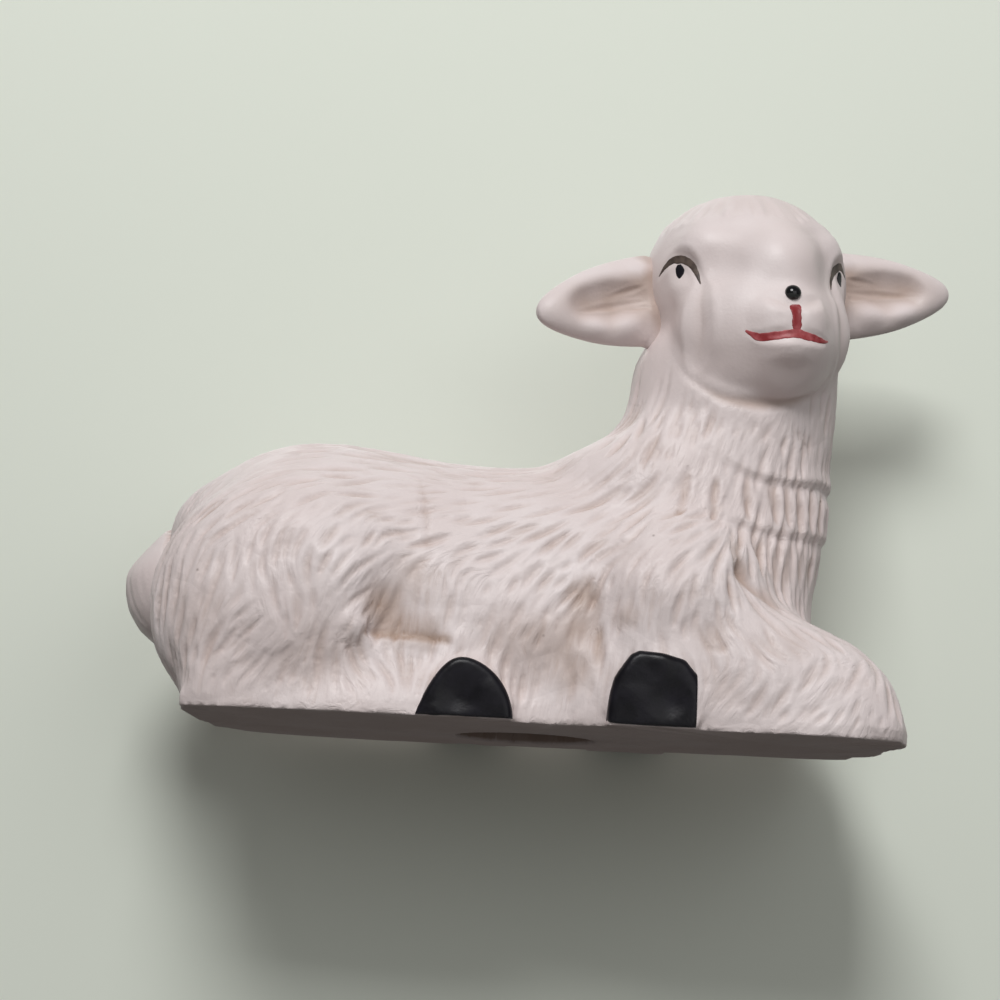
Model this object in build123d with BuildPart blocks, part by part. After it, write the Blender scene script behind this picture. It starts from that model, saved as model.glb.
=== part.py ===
"""A lamb lying down with its head turned to its right: a hollow slip-cast porcelain ornament.

X runs from the tail to the breast, Y from the right flank to the left one, Z up. The origin is at
the middle of the flat foot that the lamb rests on. All sizes are in millimetres.
"""

import os

from build123d import *

os.makedirs("parts", exist_ok=True)

# The casting as a whole.
wall = 2.6
overrun = 5.0

# The flat foot: its outline, anticlockwise from the breast, as shares of its half sizes.
foot_half_length = 33.2
foot_half_width = 15.9
foot_height = 2.2
foot_outline_shares = (
    (1.00, 0.05),
    (0.96, 0.44),
    (0.80, 0.62),
    (0.50, 0.80),
    (0.10, 0.94),
    (-0.30, 0.99),
    (-0.60, 0.97),
    (-0.86, 0.68),
    (-0.97, 0.20),
    (-0.98, -0.40),
    (-0.93, -0.90),
    (-0.70, -0.98),
    (-0.30, -0.96),
    (0.10, -0.86),
    (0.45, -0.94),
    (0.85, -0.97),
    (0.96, -0.80),
    (1.01, -0.40),
)

# The trunk, from the rump to the breast.
trunk_back_x = -31.9
trunk_length = 54.6
trunk_height = 27.2
trunk_half_width = 15.8
bulge_share = 1.05
bulge_height_share = 0.34
shoulder_share = 0.80
shoulder_height_share = 0.78

# Along the trunk: place, right flank, left flank and back, each a share of its size above.
trunk_shares = (
    (0.00, 0.90, 0.55, 0.70),
    (0.09, 0.97, 0.84, 0.94),
    (0.21, 0.94, 0.97, 1.00),
    (0.35, 0.88, 0.94, 0.97),
    (0.50, 0.84, 0.91, 0.95),
    (0.64, 0.83, 0.88, 0.955),
    (0.82, 0.86, 0.82, 0.81),
    (1.00, 0.80, 0.64, 0.50),
)

# The round of the rump behind the trunk.
rump_centre = (-21.4, 0.4, 12.7)
rump_half_sizes = (15.3, 15.4, 14.5)

# Haunches, shoulders and hind feet, alike on both flanks and given for the right one.
haunch_centre = (-22.6, -9.2, 10.0)
haunch_half_sizes = (13.6, 7.8, 12.6)
shoulder_centre = (11.6, -8.4, 10.6)
shoulder_half_sizes = (9.6, 7.4, 11.0)
hind_foot_centre = (-15.8, -11.6, 0.0)
hind_foot_half_sizes = (14.0, 4.9, 6.2)

# The folded forelegs, from the elbow to the knee.
forearm_back_x = 3.0
forearm_length = 29.4
forearm_inner_y = 1.0
forearm_outer_y = 15.4
forearm_height = 15.6
left_forearm_length = 28.8
left_forearm_outer_y = 12.6

# Along the forearm: place, inner side, outer side and top, each a share of its size above.
forearm_shares = (
    (0.00, 3.0, 0.90, 0.50),
    (0.20, 2.2, 0.98, 0.90),
    (0.38, 1.6, 1.00, 1.00),
    (0.55, 1.2, 1.00, 0.88),
    (0.72, 1.0, 1.00, 0.705),
    (0.86, 1.0, 0.98, 0.575),
    (0.945, 1.2, 0.93, 0.44),
    (1.00, 1.8, 0.80, 0.22),
)

# The folds between the forms, alike on both flanks: place along and up the flank, half length, half
# width, depth and the slope of its length in degrees. The pocket before the haunch, the top of the
# hind foot, the elbow, the line between leg and breast and the fold inside the leg.
flank_folds = (
    (-13.6, 10.2, 3.6, 2.3, 1.0, 84.0),
    (-12.6, 6.9, 5.0, 0.9, 0.8, -3.0),
    (4.2, 12.0, 2.6, 1.1, 0.8, 72.0),
    (19.0, 13.3, 4.6, 1.2, 1.0, -37.0),
    (14.7, 8.3, 1.7, 1.2, 0.6, -50.0),
)

# The neck, upright from the breast into the head.
neck_centre = (18.1, -1.2)
neck_base_z = 4.0
neck_height = 37.5
neck_half_length = 9.9
neck_half_width = 8.5

# Up the neck: place, lean back, lean to the right, half length and half width, each a share.
neck_shares = (
    (0.00, 0.44, 0.00, 1.18, 1.32),
    (0.23, 0.46, 0.00, 1.25, 1.38),
    (0.37, 0.53, 0.00, 1.40, 1.30),
    (0.53, 0.57, 0.30, 1.51, 1.18),
    (0.63, 0.31, 0.60, 1.26, 1.08),
    (0.70, 0.11, 0.80, 1.08, 1.03),
    (0.77, 0.04, 0.90, 1.03, 1.01),
    (0.89, 0.00, 1.00, 1.00, 1.00),
    (1.00, -0.04, 1.00, 0.90, 0.92),
)

# The vent through the foot, which lets air out of the hollow body in the kiln.
vent_diameter = 13.6
vent_centre = (-1.0, 4.6)

# The tail, pressed onto the rump.
tail_centre = (-35.0, 0.4, 12.5)
tail_half_sizes = (5.2, 5.0, 6.1)

# The head: its middle and its turn and tip on the neck, in degrees, then its forms about that middle.
head_centre = (18.7, -2.0, 44.9)
head_turn = 16.0
head_tip = 3.5
head_wall = 2.6
skull_centre = (0.0, 0.4, 0.0)
skull_half_sizes = (10.1, 9.6, 9.9)
jaw_centre = (-0.5, -3.4, -5.7)
jaw_half_sizes = (8.5, 8.2, 8.0)
muzzle_centre = (0.0, -5.4, -6.8)
muzzle_half_sizes = (5.8, 7.2, 6.9)
nose_bridge_centre = (0.0, -4.0, -1.4)
nose_bridge_half_sizes = (6.0, 7.4, 7.4)

# The seam where the head is luted on, a slope from under the chin up to the nape.
seam_point = (18.0, -7.4, 30.2)
seam_slope = 31.0

# The ears, from the middle of the head: where they spring, their tips and their leaf.
right_ear_root = (-7.0, 1.8, -0.9)
right_ear_tip = (-22.0, -0.8, -4.3)
left_ear_root = (7.0, 1.4, 0.2)
left_ear_tip = (22.0, -1.0, 0.9)
ear_height = 9.2
ear_thickness = 3.8
ear_hollow_depth = 1.6

# Along the ear: place, height and thickness, each a share of the ear's size.
ear_shares = (
    (0.00, 0.86, 1.00),
    (0.28, 0.99, 1.00),
    (0.52, 0.88, 0.94),
    (0.72, 0.69, 0.84),
    (0.86, 0.49, 0.70),
    (0.96, 0.28, 0.50),
    (1.00, 0.10, 0.22),
)
ear_hollow_place_share = 0.56
ear_hollow_length_share = 0.38
ear_hollow_height_share = 0.34

# The black enamelled hooves on the edge of the foot: their outlines are shares of length and height.
hoof_outer_y = 16.4
hoof_thickness = 2.4
hoof_round = 0.6
hind_hoof_back_x = -11.2
hind_hoof_length = 8.7
hind_hoof_height = 5.3
hind_hoof_shares = ((0.0, 0.0), (0.18, 0.64), (0.42, 1.0), (0.72, 0.86), (0.94, 0.42), (1.0, 0.0))
front_hoof_back_x = 5.6
front_hoof_length = 8.0
front_hoof_height = 6.4
front_hoof_shares = ((0.0, 0.0), (0.10, 0.50), (0.36, 0.96), (0.74, 1.0), (0.97, 0.68), (1.0, 0.0))

# Enamel on the face: bearings are in degrees from straight ahead, heights from the head's middle.
nose_bead_radius = 0.75
nose_bearing = -2.5
nose_z = -3.9
right_eye_bearing = 63.0
left_eye_bearing = 53.0
eye_z = -0.2
pupil_half_sizes = (0.43, 0.68, 0.25)
lash_radius = 0.22
lash_spread = 11.5
lash_outer_z = -0.3
lash_top_z = 1.2
lash_inner_z = -1.3
mouth_radius = 0.32
mouth_bearing = -4.5
mouth_z = -8.2
mouth_spread = 19.0
mouth_corner_z = -7.9
philtrum_half_sizes = (0.6, 1.1, 0.3)
philtrum_bearing = -2.3
philtrum_z = -6.3


def egg(centre, half_sizes, inset=0.0):
    """A unit ball stretched to three half sizes, less an inset, turned so that its seam is on the +Y side."""
    half_x, half_y, half_z = (size - inset for size in half_sizes)
    ball = scale(Sphere(1, mode=Mode.PRIVATE), by=(half_y, half_x, half_z), mode=Mode.PRIVATE)
    return Pos(*centre) * Rot(0, 0, 90) * ball


def arch(x, low_y, high_y, base_z, top_z):
    """An upright slice at x: flat below, full at both sides and round on top."""
    middle = (low_y + high_y) / 2
    bulge = (high_y - low_y) / 2 * bulge_share
    bulge_z = base_z + (top_z - base_z) * bulge_height_share
    shoulder = (high_y - low_y) / 2 * shoulder_share
    shoulder_z = base_z + (top_z - base_z) * shoulder_height_share
    with BuildSketch(Plane.YZ.offset(x)) as slice_at_x:
        with BuildLine():
            Spline(
                (low_y, base_z),
                (middle - bulge, bulge_z),
                (middle - shoulder, shoulder_z),
                (middle, top_z),
                (middle + shoulder, shoulder_z),
                (middle + bulge, bulge_z),
                (high_y, base_z),
            )
            Line((high_y, base_z), (low_y, base_z))
        make_face()
    return slice_at_x.sketch


def foot():
    """The flat foot under the trunk and legs."""
    outline = [(x * foot_half_length, y * foot_half_width) for x, y in foot_outline_shares]
    with BuildPart() as form:
        with BuildSketch():
            with BuildLine():
                Spline(*outline, periodic=True)
            make_face()
        extrude(amount=foot_height)
    return form.part


def trunk(inset=0.0):
    """The barrel of the body between rump and breast, drawn in by an inset."""
    slices = []
    for place, right, left, top in trunk_shares:
        x = trunk_back_x + inset + place * (trunk_length - 2 * inset)
        low_y = inset - trunk_half_width * right
        high_y = trunk_half_width * left - inset
        slices.append(arch(x, low_y, high_y, inset, trunk_height * top - inset))
    with BuildPart() as form:
        loft(sections=slices)
    return form.part


def neck(inset=0.0):
    """The neck, oval in plan, drawn in by an inset."""
    rings = []
    for place, lean_x, lean_y, half_length, half_width in neck_shares:
        centre = (neck_centre[0] - lean_x * neck_half_length, neck_centre[1] * lean_y)
        with BuildSketch(Plane.XY.offset(neck_base_z + place * neck_height)) as ring:
            with Locations(centre):
                Ellipse(neck_half_length * half_length - inset, neck_half_width * half_width - inset)
        rings.append(ring.sketch)
    with BuildPart() as form:
        loft(sections=rings)
    return form.part


def forearm(side, length, outer_y):
    """A folded foreleg from the elbow to the knee, right for side -1 and left for 1."""
    slices = []
    for place, inner, outer, top in forearm_shares:
        edges = sorted((side * forearm_inner_y * inner, side * outer_y * outer))
        slices.append(arch(forearm_back_x + place * length, *edges, 0.0, forearm_height * top))
    with BuildPart() as form:
        loft(sections=slices)
    return form.part


def ear(root, tip):
    """A leaf from inside the head to its tip, scooped out on the side that faces forward."""
    axis = Vector(*tip) - Vector(*root)
    forward = Vector(0, -1, 0)
    leaf_plane = Plane(origin=root, x_dir=forward - axis * (forward.dot(axis) / axis.length**2), z_dir=axis)
    rings = []
    for place, height, thickness in ear_shares:
        with BuildSketch(leaf_plane.offset(place * axis.length)) as ring:
            Ellipse(ear_thickness / 2 * thickness, ear_height / 2 * height)
        rings.append(ring.sketch)
    scoop_sizes = (
        ear_hollow_depth * 2,
        ear_height * ear_hollow_height_share,
        axis.length * ear_hollow_length_share,
    )
    scoop_place = (ear_thickness / 2 + ear_hollow_depth, 0, axis.length * ear_hollow_place_share)
    with BuildPart() as leaf:
        loft(sections=rings)
        add(leaf_plane.location * egg(scoop_place, scoop_sizes), mode=Mode.SUBTRACT)
    return leaf.part


head_place = Pos(*head_centre) * Rot(0, 0, head_turn) * Rot(0, -head_tip, 0)
seam_plane = Plane(seam_point).rotated((seam_slope, 0, 0))

# What the plaster mould gives in one pour, as a solid, before the slip is drained out of it.
with BuildPart() as casting_form:
    add(foot())
    add(trunk())
    add(egg(rump_centre, rump_half_sizes))
    add(neck())
    for flank_form in (
        egg(haunch_centre, haunch_half_sizes),
        egg(shoulder_centre, shoulder_half_sizes),
        egg(hind_foot_centre, hind_foot_half_sizes),
    ):
        add(flank_form)
        add(flank_form.mirror(Plane.XZ))
    add(forearm(-1, forearm_length, forearm_outer_y))
    add(forearm(1, left_forearm_length, left_forearm_outer_y))
    add(head_place * egg(skull_centre, skull_half_sizes))
    add(head_place * egg(jaw_centre, jaw_half_sizes))
    add(head_place * egg(muzzle_centre, muzzle_half_sizes))
    add(head_place * egg(nose_bridge_centre, nose_bridge_half_sizes))
    split(bisect_by=Plane.XY, keep=Keep.TOP)


def face_point(bearing, height):
    """Where a level line from the head's middle axis leaves the face, and the way out there."""
    ray = Plane(head_place * Pos(0, 0, height) * Rot(0, 0, bearing))
    return casting_form.part.find_intersection_points(Axis(ray.origin, -ray.y_dir))[-1]


def flank_point(side, x, z):
    """Where a level line from the middle leaves the flank, the right one for side -1."""
    return casting_form.part.find_intersection_points(Axis((x, 0, z), (0, side, 0)))[-1][0]


def lens_on_face(bearing, height, half_sizes):
    """A flat egg of enamel lying half in the face: half width, half height and half depth."""
    point, normal = face_point(bearing, height)
    up = Plane(head_place).z_dir
    return Plane(origin=point, x_dir=up.cross(normal), z_dir=normal).location * egg((0, 0, 0), half_sizes)


def line_on_face(places, radius):
    """A round line of enamel through three places on the face, each a bearing and a height."""
    points = [face_point(bearing, height)[0] for bearing, height in places]
    with BuildPart() as stroke:
        with BuildLine() as path:
            ThreePointArc(*points)
        with BuildSketch(path.line ^ 0):
            Circle(radius)
        sweep(path=path.line)
    return stroke.part


def hoof(side, back_x, length, height, shares):
    """A hoof: an upright plate with a rounded face that stands a little proud of the flank."""
    outline = [(back_x + x * length, z * height) for x, z in shares]
    outer_plane = Plane.XZ.offset(-side * hoof_outer_y)
    with BuildPart() as plate:
        with BuildSketch(outer_plane) as face:
            with BuildLine():
                Spline(*outline)
                Line(outline[-1], outline[0])
            make_face()
        extrude(amount=side * hoof_thickness)
        outer_face = plate.faces().sort_by(Axis.Y)[-1 if side > 0 else 0]
        rim = outer_face.edges().sort_by(Axis.Z)[-1]
        fillet(rim, hoof_round)
    return plate.part


mouth_places = (
    (mouth_bearing - mouth_spread, mouth_corner_z),
    (mouth_bearing, mouth_z),
    (mouth_bearing + mouth_spread, mouth_corner_z),
)
enamel = {
    "nose_bead": Pos(*face_point(nose_bearing, nose_z)[0]) * Sphere(nose_bead_radius, mode=Mode.PRIVATE),
    "mouth_line": line_on_face(mouth_places, mouth_radius),
    "philtrum_line": lens_on_face(philtrum_bearing, philtrum_z, philtrum_half_sizes),
}
for name, side, eye_bearing in (("right", -1, right_eye_bearing), ("left", 1, left_eye_bearing)):
    lash_places = (
        (side * (eye_bearing + lash_spread), lash_outer_z),
        (side * eye_bearing, lash_top_z),
        (side * (eye_bearing - lash_spread), lash_inner_z),
    )
    enamel["pupil_" + name] = lens_on_face(side * eye_bearing, eye_z, pupil_half_sizes)
    enamel["lash_" + name] = line_on_face(lash_places, lash_radius)
    enamel["hoof_hind_" + name] = hoof(
        side, hind_hoof_back_x, hind_hoof_length, hind_hoof_height, hind_hoof_shares
    )
    enamel["hoof_front_" + name] = hoof(
        side, front_hoof_back_x, front_hoof_length, front_hoof_height, front_hoof_shares
    )

# The folds are drawn into the flanks.
with BuildPart() as creased_form:
    add(casting_form.part)
    for side in (-1, 1):
        for x, z, half_length, half_width, depth, slope in flank_folds:
            place = Pos(*flank_point(side, x, z)) * Rot(0, -slope, 0)
            add(place * egg((0, 0, 0), (half_length, depth, half_width)), mode=Mode.SUBTRACT)

# The enamelled places are sunk into the casting, so each one is cut out of what it lies in.
with BuildPart() as casting:
    add(creased_form.part)
    add(trunk(wall), mode=Mode.SUBTRACT)
    add(neck(wall), mode=Mode.SUBTRACT)
    add(head_place * egg(skull_centre, skull_half_sizes, inset=head_wall), mode=Mode.SUBTRACT)
    with Locations((*vent_centre, 0)):
        Cylinder(vent_diameter / 2, 2 * (wall + overrun), mode=Mode.SUBTRACT)
    for coat in enamel.values():
        add(coat, mode=Mode.SUBTRACT)

# The body, the lower piece of the luted casting, open at the neck and at the vent.
with BuildPart() as body_shell:
    add(casting.part)
    split(bisect_by=seam_plane, keep=Keep.BOTTOM)
body_shell.part.label = "body_shell"
export_step(body_shell.part, "parts/body_shell.step")

# The head, the upper piece, hollow and open at its seam.
with BuildPart() as head_shell:
    add(casting.part)
    split(bisect_by=seam_plane, keep=Keep.TOP)
head_shell.part.label = "head_shell"
export_step(head_shell.part, "parts/head_shell.step")

# The ears, pressed by hand and stuck to the sides of the head with slip.
for name, root, tip in (
    ("ear_right", right_ear_root, right_ear_tip),
    ("ear_left", left_ear_root, left_ear_tip),
):
    with BuildPart() as ear_leaf:
        add(head_place * ear(root, tip))
        add(casting_form.part, mode=Mode.SUBTRACT)
    ear_leaf.part.label = name
    export_step(ear_leaf.part, f"parts/{name}.step")

# The tail, a lump stuck to the rump.
with BuildPart() as tail:
    add(egg(tail_centre, tail_half_sizes))
    add(casting_form.part, mode=Mode.SUBTRACT)
tail.part.label = "tail"
export_step(tail.part, "parts/tail.step")

# The enamel, fired onto the porcelain: hooves, nose, pupils, lash lines, mouth and lip crease.
for name, coat in enamel.items():
    with BuildPart() as enamel_piece:
        add(coat)
    enamel_piece.part.label = name
    export_step(enamel_piece.part, f"parts/{name}.step")
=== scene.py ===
"""A lamb lying down with its head turned to its right: a slip-cast ornament in bisque porcelain.

X runs from the tail to the breast, Y from the right flank to the left one, Z up. Blender's lengths
are metres. The carving is worked out in millimetres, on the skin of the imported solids.
"""

import math
import random

import bmesh
import bpy
import numpy as np
from mathutils import Matrix, Vector, noise
from mathutils.bvhtree import BVHTree
from mathutils.kdtree import KDTree


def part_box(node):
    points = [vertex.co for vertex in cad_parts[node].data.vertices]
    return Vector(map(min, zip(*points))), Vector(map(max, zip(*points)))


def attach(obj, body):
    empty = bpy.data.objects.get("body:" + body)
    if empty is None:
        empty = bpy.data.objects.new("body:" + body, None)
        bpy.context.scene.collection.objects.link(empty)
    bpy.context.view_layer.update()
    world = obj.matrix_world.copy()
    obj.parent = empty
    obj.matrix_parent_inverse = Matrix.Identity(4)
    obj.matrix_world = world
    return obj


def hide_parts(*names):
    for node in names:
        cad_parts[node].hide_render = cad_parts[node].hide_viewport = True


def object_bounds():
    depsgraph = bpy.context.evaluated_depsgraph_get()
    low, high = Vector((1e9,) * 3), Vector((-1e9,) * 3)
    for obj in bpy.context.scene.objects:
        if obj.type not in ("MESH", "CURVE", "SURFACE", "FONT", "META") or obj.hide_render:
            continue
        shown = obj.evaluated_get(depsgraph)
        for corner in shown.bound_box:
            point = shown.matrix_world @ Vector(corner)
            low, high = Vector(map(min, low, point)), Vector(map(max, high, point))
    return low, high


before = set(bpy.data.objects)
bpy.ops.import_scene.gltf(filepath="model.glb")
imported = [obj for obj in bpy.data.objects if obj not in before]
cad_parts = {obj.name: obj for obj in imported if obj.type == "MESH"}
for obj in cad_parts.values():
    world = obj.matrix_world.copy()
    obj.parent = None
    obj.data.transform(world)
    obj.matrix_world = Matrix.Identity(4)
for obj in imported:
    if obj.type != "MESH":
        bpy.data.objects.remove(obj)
cad_box = [list(corner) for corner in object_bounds()]

# The casting. Body and head are poured in plaster moulds and luted together with slip while damp, so
# the wool runs over their seam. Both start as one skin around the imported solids, which the modelling
# tool then works over, and are parted again at the seam.
mm = 0.001
seam_point = Vector((18.0, -7.4, 30.2))
seam_slope = math.radians(31)
seam_normal = Vector((0, -math.sin(seam_slope), math.cos(seam_slope)))
luted_overlap = 0.6
skin_grain = 0.27
vent_lip = 2.6
lining_share = 0.06
lining_foot = 0.4


def mesh_from(shape, name):
    """The mesh of a working shape, which is dropped."""
    mesh = bpy.data.meshes.new(name)
    shape.to_mesh(mesh)
    shape.free()
    return mesh


def linked(name, data):
    """An object in the scene for a mesh, a lamp or a camera."""
    thing = bpy.data.objects.new(name, data)
    bpy.context.collection.objects.link(thing)
    return thing


def read_rows(things, name, width, kind=float):
    """What some points or edges hold under a name, one row for each."""
    values = np.empty(len(things) * width, dtype=kind)
    things.foreach_get(name, values)
    return values.reshape(-1, width)


def merged_mesh(node):
    """A copy of a node's mesh in millimetres with its loose triangles joined up."""
    shape = bmesh.new()
    shape.from_mesh(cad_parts[node].data)
    bmesh.ops.remove_doubles(shape, verts=shape.verts, dist=1e-7)
    bmesh.ops.scale(shape, verts=shape.verts, vec=(1 / mm, 1 / mm, 1 / mm))
    return mesh_from(shape, node)


def indexed(points):
    """A tree that finds the nearest of some points by its number."""
    tree = KDTree(len(points))
    for number, point in enumerate(points):
        tree.insert(point, number)
    tree.balance()
    return tree


def worn_by(mesh, kind, **settings):
    """The mesh that a modifier makes of a mesh, whose first vertex group it may read."""
    wearer = linked("wearer", mesh)
    if "vertex_group" in settings:
        marks = settings.pop("marks")
        group = wearer.vertex_groups.new(name=settings["vertex_group"])
        group.add([int(index) for index in np.nonzero(marks)[0]], 1.0, "REPLACE")
    modifier = wearer.modifiers.new(kind, kind)
    for name, value in settings.items():
        setattr(modifier, name, value)
    depsgraph = bpy.context.evaluated_depsgraph_get()
    result = bpy.data.meshes.new_from_object(wearer.evaluated_get(depsgraph))
    bpy.data.objects.remove(wearer)
    return result


def skin_of(meshes, grain):
    """One closed skin around solids that overlap, of quads of an even size."""
    heap = bmesh.new()
    for mesh in meshes:
        heap.from_mesh(mesh)
    return worn_by(mesh_from(heap, "joined"), "REMESH", mode="VOXEL", voxel_size=grain, adaptivity=0.0)


class Clay:
    """A damp form under the modelling tool: points, the way out at each, and the relief to give it."""

    lip_reach = 1.7
    narrowest_share = 0.35

    def __init__(self, mesh):
        self.mesh = mesh
        self.points = read_rows(mesh.vertices, "co", 3)
        self.edges = read_rows(mesh.edges, "vertices", 2, np.int64)
        self.settle()
        self.relief = np.zeros(len(self.points))
        self.cut = np.zeros(len(self.points))

    def write(self):
        """Bring the mesh's points to where they are now."""
        self.mesh.vertices.foreach_set("co", self.points.ravel())
        self.mesh.update()

    def settle(self):
        """Write the points to the mesh and find the way out at each again."""
        self.write()
        self.normals = read_rows(self.mesh.vertex_normals, "vector", 3)
        self.surface = BVHTree.FromPolygons(
            [Vector(point) for point in self.points], [list(face.vertices) for face in self.mesh.polygons]
        )
        self.index = indexed(self.points)

    def averaged(self, values):
        """Each point's value as the mean of its neighbours' values."""
        first, second = self.edges.T
        count = len(self.points)
        reach = np.bincount(first, minlength=count) + np.bincount(second, minlength=count)
        total = np.bincount(first, values[second], count) + np.bincount(second, values[first], count)
        return total / np.maximum(reach, 1)

    def smooth(self, rounds, strength=0.5):
        """Sponge the form down, as strongly as the strength from 0 to 1, everywhere or at each point."""
        for _ in range(rounds):
            mean = np.stack([self.averaged(self.points[:, axis]) for axis in range(3)], axis=1)
            self.points += (mean - self.points) * np.reshape(strength, (-1, 1))
        self.settle()

    def joined_to(self, start, allowed):
        """The allowed points that a chain of allowed points joins to the start."""
        reached = np.zeros(len(self.points), dtype=bool)
        reached[start] = True
        grown = 1
        while grown:
            touching = reached[self.edges[:, 0]] | reached[self.edges[:, 1]]
            more = reached.copy()
            more[self.edges[touching].ravel()] = True
            more &= allowed
            grown = int(more.sum() - reached.sum())
            reached = more
        return reached

    def dab(self, point, radius, height):
        """Add a rounded pat of clay, or take one off where the height is negative."""
        for _, number, distance in self.index.find_range(point, radius):
            self.relief[number] += height * (1 - (distance / radius) ** 2) ** 2

    def groove(self, path, width, depth, blunt=0.6, lip=0.18, sharpness=1.3):
        """Draw a round-ended tool along a path on the surface, which raises a slight lip beside it."""
        reach = width * self.lip_reach
        last = max(len(path) - 1, 1)
        lowest = {}
        for step, point in enumerate(path):
            ease = max(math.sin(math.pi * (step + 0.5) / (last + 1)), 0.0) ** blunt
            wide = max(ease, self.narrowest_share)
            for _, number, distance in self.index.find_range(point, reach * wide):
                share = distance / (width * wide)
                if share < 1:
                    value = -depth * ease * (1 - share) ** sharpness
                else:
                    value = depth * ease * lip * math.sin(math.pi * (share - 1) / (self.lip_reach - 1))
                known = lowest.get(number)
                if known is None or (value < 0 and value < known) or (0 < value and 0 < known < value):
                    lowest[number] = value
        for number, value in lowest.items():
            if value < self.cut[number] or self.cut[number] >= 0:
                self.cut[number] = value
        return lowest

    def shingle(self, path, down, height, reach):
        """Let what lies above a path overhang what lies below it, less so near its ends."""
        step_width = 0.35
        end_share = 0.3
        ridge = indexed(path)
        for number in {number for point in path for _, number, _ in self.index.find_range(point, reach)}:
            place = Vector(self.points[number])
            nearest, at, distance = ridge.find(place)
            along = abs(at / (len(path) - 1) - 0.5) * 2
            fade = 1 - max(along - 1 + end_share, 0) / end_share
            falls = (1 - distance / reach) ** 2 * fade
            below = (place - nearest).dot(down)
            lean = max(-1.0, min(1.0, below / step_width))
            self.relief[number] -= height * lean * falls

    def lay(self, soft_rounds=1):
        """Give the form its relief, softened, and tell how high each point now stands by it."""
        whole = self.relief + self.cut
        for _ in range(soft_rounds):
            whole = (whole + self.averaged(whole)) / 2
        self.points += self.normals * whole[:, None]
        self.write()
        return whole


def wound(points, spacing=0.25):
    """Points an even step apart on a smooth line through a few given ones."""
    ends = [points[0] * 2 - points[1], *points, points[-1] * 2 - points[-2]]
    line = []
    for before, start, end, after in zip(ends, ends[1:], ends[2:], ends[3:]):
        steps = max(int((end - start).length / spacing), 1)
        for step in range(steps):
            t = step / steps
            squared = (2 * before - 5 * start + 4 * end - after) * t**2
            cubed = (3 * start - before - 3 * end + after) * t**3
            line.append(0.5 * (2 * start + (end - before) * t + squared + cubed))
    line.append(points[-1])
    return line


clay_nodes = ("body_shell", "head_shell", "ear_right", "ear_left", "tail")
enamel_nodes = [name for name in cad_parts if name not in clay_nodes]
head_mesh = merged_mesh("head_shell")
for vertex in head_mesh.vertices:
    if abs((vertex.co - seam_point).dot(seam_normal)) < 1e-3:
        vertex.co -= seam_normal * luted_overlap
casting_mesh = skin_of([merged_mesh("body_shell"), head_mesh, *map(merged_mesh, enamel_nodes)], skin_grain)

casting = Clay(casting_mesh)
hollow_middle = Vector((-8, 0, 12))
hollow_roof = casting.surface.ray_cast(hollow_middle, Vector((0, 0, 1)))[0]


def lining_of(clay):
    """Which points line the hollow, from just above the foot."""
    return clay.joined_to(clay.index.find(hollow_roof)[1], clay.points[:, 2] > lining_foot)


# The lining and the flat foot are plain, so they keep few of their points.
plain = lining_of(casting) & (casting.points[:, 2] > vent_lip)
flat_below = 0.02
all_round = 0.999
under_foot = (casting.points[:, 2] < flat_below).astype(float)
for _ in range(3):
    under_foot = casting.averaged(under_foot)
plain |= under_foot > all_round
skin_share = 1 - plain.mean() * (1 - lining_share)
casting = Clay(worn_by(casting_mesh, "DECIMATE", ratio=skin_share, vertex_group="plain", marks=plain))
lining = lining_of(casting)

# The mould softens every joint between the forms, most of all on the trunk, and keeps the rim of the
# foot sharp. What lies inside the hollow is left as it was poured. The roundness that the sponge took
# off broadly is given back, so that only the joints change.
form_rounds = 34
blend_rounds = 84
spread_rounds = 225
sharp_rim = 0.9
rim_fade = 1.6
face_spared = 0.9


def in_front(low_z):
    """How far each point lies in the front of the head, above a height: from 0 to 1."""
    return np.clip((casting.points[:, 2] - low_z) / 2, 0, 1) * np.clip((-3 - casting.points[:, 1]) / 3, 0, 1)


softness = 0.5 * np.clip((casting.points[:, 2] - sharp_rim) / rim_fade, 0, 1)
softness[lining] = 0
face_share = in_front(29)
before_sponge = casting.points.copy()
casting.smooth(form_rounds, softness)
casting.smooth(blend_rounds, softness * (1 - face_spared * face_share))
sponged_off = ((before_sponge - casting.points) * casting.normals).sum(axis=1) * (softness > 0)
for _ in range(spread_rounds):
    sponged_off = casting.averaged(sponged_off)
casting.points += casting.normals * (sponged_off * (softness > 0))[:, None]
casting.settle()

# The modeller's own folds and swellings on the softened form: the pocket before the haunch, the crease
# over the hind foot, the elbow, the line where the leg meets the breast and the tiers of the neck.
beyond_flank = 40.0
beyond_head = 25.0
neck_axis = Vector((18.0, -0.6, 0.0))


def on_flank(x, z, side=-1):
    """Where the flank lies at a place along and up it, seen from its own side."""
    seen_from = Vector((x, side * beyond_flank, z))
    return casting.surface.ray_cast(seen_from, Vector((0, -side, 0)))[0]


def flank_path(places, side=-1):
    """An even path on the flank through a few places."""
    points = [on_flank(x, z, side) for x, z in places]
    return wound([point for point in points if point is not None])


def on_neck(bearing, z):
    """Where the neck's skin lies at a bearing from the right flank round to the breast, and a height."""
    turn = math.radians(bearing)
    way = Vector((math.sin(turn), -math.cos(turn), 0))
    return casting.surface.ray_cast(neck_axis + Vector((0, 0, z)) + way * beyond_head, -way)[0]


def neck_path(places):
    """An even path round or down the neck through a few places, each a bearing and a height."""
    return wound([on_neck(*place) for place in places])


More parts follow.
